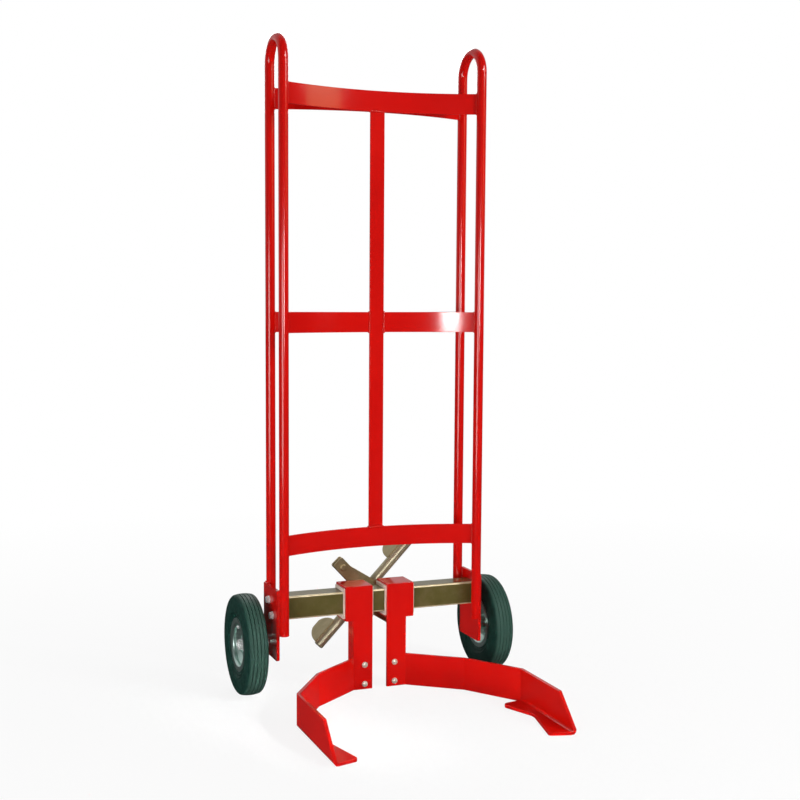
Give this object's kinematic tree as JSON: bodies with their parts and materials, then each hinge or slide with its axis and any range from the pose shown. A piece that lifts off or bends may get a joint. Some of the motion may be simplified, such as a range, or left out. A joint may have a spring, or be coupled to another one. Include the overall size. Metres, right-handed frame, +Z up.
{
  "type": "tire cart",
  "caption": "Upright hand cart for a stack of tyres: hairpin tube frame, bowed cradle bands, foot-rocker that spreads sliding faceted arms, wheels on stub axles.",
  "frame": {"origin": "middle of the ground area of the cart, on the floor", "axes": "+Z up, +Y to the rear (the wheels), -Y to the front (the foot lips), +X to the right seen from the front"},
  "size_m": [0.739, 0.705, 1.672],
  "materials": {
    "red_paint": "gloss enamel",
    "yellow_zinc": "yellow passivated zinc",
    "bare_steel": "plain zinc",
    "tyre_rubber": "matt with ring grooves",
    "rim_steel": "pressed zinc sheet",
    "valve_rubber": "matt",
    "liner_plastic": "satin"
  },
  "bodies": {
    "frame": {"top_band": "red_paint", "bottom_band": "red_paint", "top_rear_brace": "red_paint", "middle_rear_brace": "red_paint", "brace_blocks": "red_paint", "centre_strip": "red_paint", "slide_bar": "yellow_zinc", "bar_end_plugs": "bare_steel", "pivot_pin": "yellow_zinc", "pivot_nut": "yellow_zinc", "left_side_tube": "red_paint", "left_middle_band": "red_paint", "left_wheel_bracket": "red_paint", "left_bar_bolts": "yellow_zinc", "left_axle": "bare_steel", "left_axle_nut": "bare_steel", "right_side_tube": "red_paint", "right_middle_band": "red_paint", "right_wheel_bracket": "red_paint", "right_bar_bolts": "yellow_zinc", "right_axle": "bare_steel", "right_axle_nut": "bare_steel"},
    "left_wheel": {"left_tyre": "tyre_rubber", "left_rim_outer": "rim_steel", "left_rim_inner": "rim_steel", "left_hub": "rim_steel", "left_rim_bolts": "rim_steel", "left_valve": "valve_rubber"},
    "right_wheel": {"right_tyre": "tyre_rubber", "right_rim_outer": "rim_steel", "right_rim_inner": "rim_steel", "right_hub": "rim_steel", "right_rim_bolts": "rim_steel", "right_valve": "valve_rubber"},
    "left_arm": {"left_sleeve": "red_paint", "left_slide_liner": "liner_plastic", "left_arm_plate": "red_paint", "left_leg_angle": "red_paint", "left_leg_bolts": "yellow_zinc", "left_lug_pin": "yellow_zinc", "left_lug_nut": "yellow_zinc"},
    "right_arm": {"right_sleeve": "red_paint", "right_slide_liner": "liner_plastic", "right_arm_plate": "red_paint", "right_leg_angle": "red_paint", "right_leg_bolts": "yellow_zinc", "right_lug_pin": "yellow_zinc", "right_lug_nut": "yellow_zinc"},
    "rocker": {"crank_front": "yellow_zinc", "crank_rear": "yellow_zinc", "rocker_hub": "yellow_zinc", "crank_pins": "yellow_zinc", "upper_pedal_bar": "yellow_zinc", "lower_pedal_bar": "yellow_zinc", "upper_tread": "yellow_zinc", "lower_tread": "yellow_zinc"},
    "left_link": {"left_link": "yellow_zinc"},
    "right_link": {"right_link": "yellow_zinc"}
  },
  "joints": [
    {"name": "left_wheel_spin", "type": "hinge", "parent": "frame", "child": "left_wheel", "pos_m": [-0.3415, 0.2225, 0.13], "axis": [1, 0, 0], "continuous": true},
    {"name": "right_wheel_spin", "type": "hinge", "parent": "frame", "child": "right_wheel", "pos_m": [0.3415, 0.2225, 0.13], "axis": [1, 0, 0], "continuous": true},
    {"name": "pedal_swing", "type": "hinge", "parent": "frame", "child": "rocker", "pos_m": [0, 0.2335, 0.2315], "axis": [0, 1, 0], "range_deg": [0, 40]},
    {"name": "left_arm_slide", "type": "slide", "parent": "frame", "child": "left_arm", "axis": [-1, 0, 0], "range_m": [0, 0.0441]},
    {"name": "right_arm_slide", "type": "slide", "parent": "frame", "child": "right_arm", "axis": [1, 0, 0], "range_m": [0, 0.0441]},
    {"name": "right_link_turn", "type": "hinge", "parent": "rocker", "child": "right_link", "pos_m": [-0.07366, 0.2335, 0.31049], "axis": [0, 1, 0], "range_deg": [-26.4, 0]},
    {"name": "left_link_turn", "type": "hinge", "parent": "rocker", "child": "left_link", "pos_m": [0.07366, 0.2335, 0.15251], "axis": [0, 1, 0], "range_deg": [-26.4, 0]}
  ],
  "couplings": [
    {"joint": "left_arm_slide", "follows": "pedal_swing", "m_per_rad": 0.063},
    {"joint": "right_arm_slide", "follows": "pedal_swing", "m_per_rad": 0.063},
    {"joint": "right_link_turn", "follows": "pedal_swing", "ratio": -0.659},
    {"joint": "left_link_turn", "follows": "pedal_swing", "ratio": -0.659}
  ]
}
